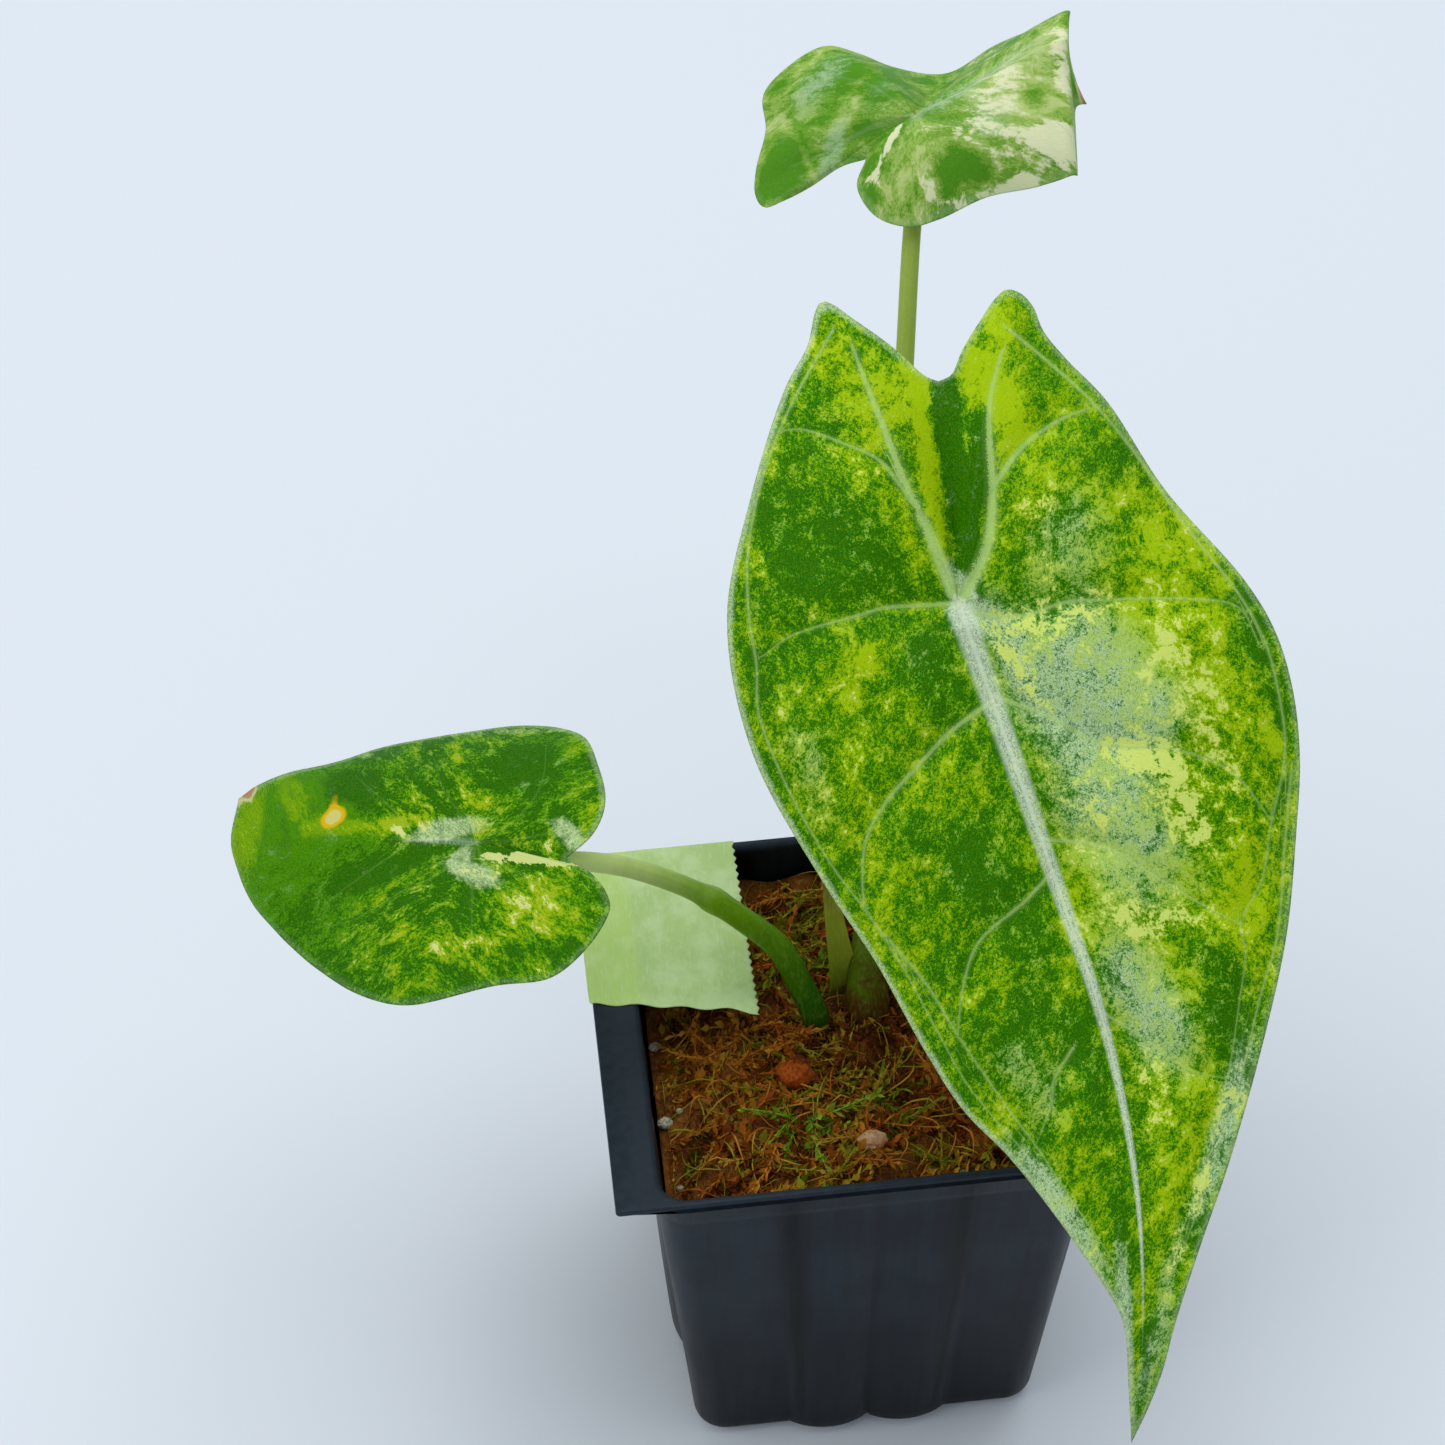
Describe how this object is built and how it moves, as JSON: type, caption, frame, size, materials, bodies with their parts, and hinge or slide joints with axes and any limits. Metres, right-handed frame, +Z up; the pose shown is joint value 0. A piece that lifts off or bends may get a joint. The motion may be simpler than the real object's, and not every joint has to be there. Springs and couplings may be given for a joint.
{
  "type": "potted plant",
  "caption": "Young variegated alocasia with heart-shaped leaves on slender stalks, standing in moss in a small square black nursery pot with a bare strip of label tape.",
  "frame": {"origin": "middle of the pot's flat base, on the surface it stands on", "axes": "+Z up; +Y to the back, the way the tallest stalk leans; +X to the right, along the pot's plain front rim"},
  "size_m": [0.1568, 0.1896, 0.1904],
  "materials": {
    "pot_plastic": "satin",
    "moss_medium": "matte",
    "stalk": "satin",
    "sheath": "matte",
    "leaf_green": "satin",
    "leaf_pale": "satin",
    "label_paper": "matte"
  },
  "bodies": {
    "root": {"pot": "pot_plastic", "growing_medium": "moss_medium", "stalk_left": "stalk", "stalk_front": "stalk", "stalk_back": "stalk", "stem_sheath": "sheath", "leaf_left": "leaf_green", "leaf_front": "leaf_green", "leaf_back": "leaf_pale", "label_tape": "label_paper"}
  },
  "joints": []
}
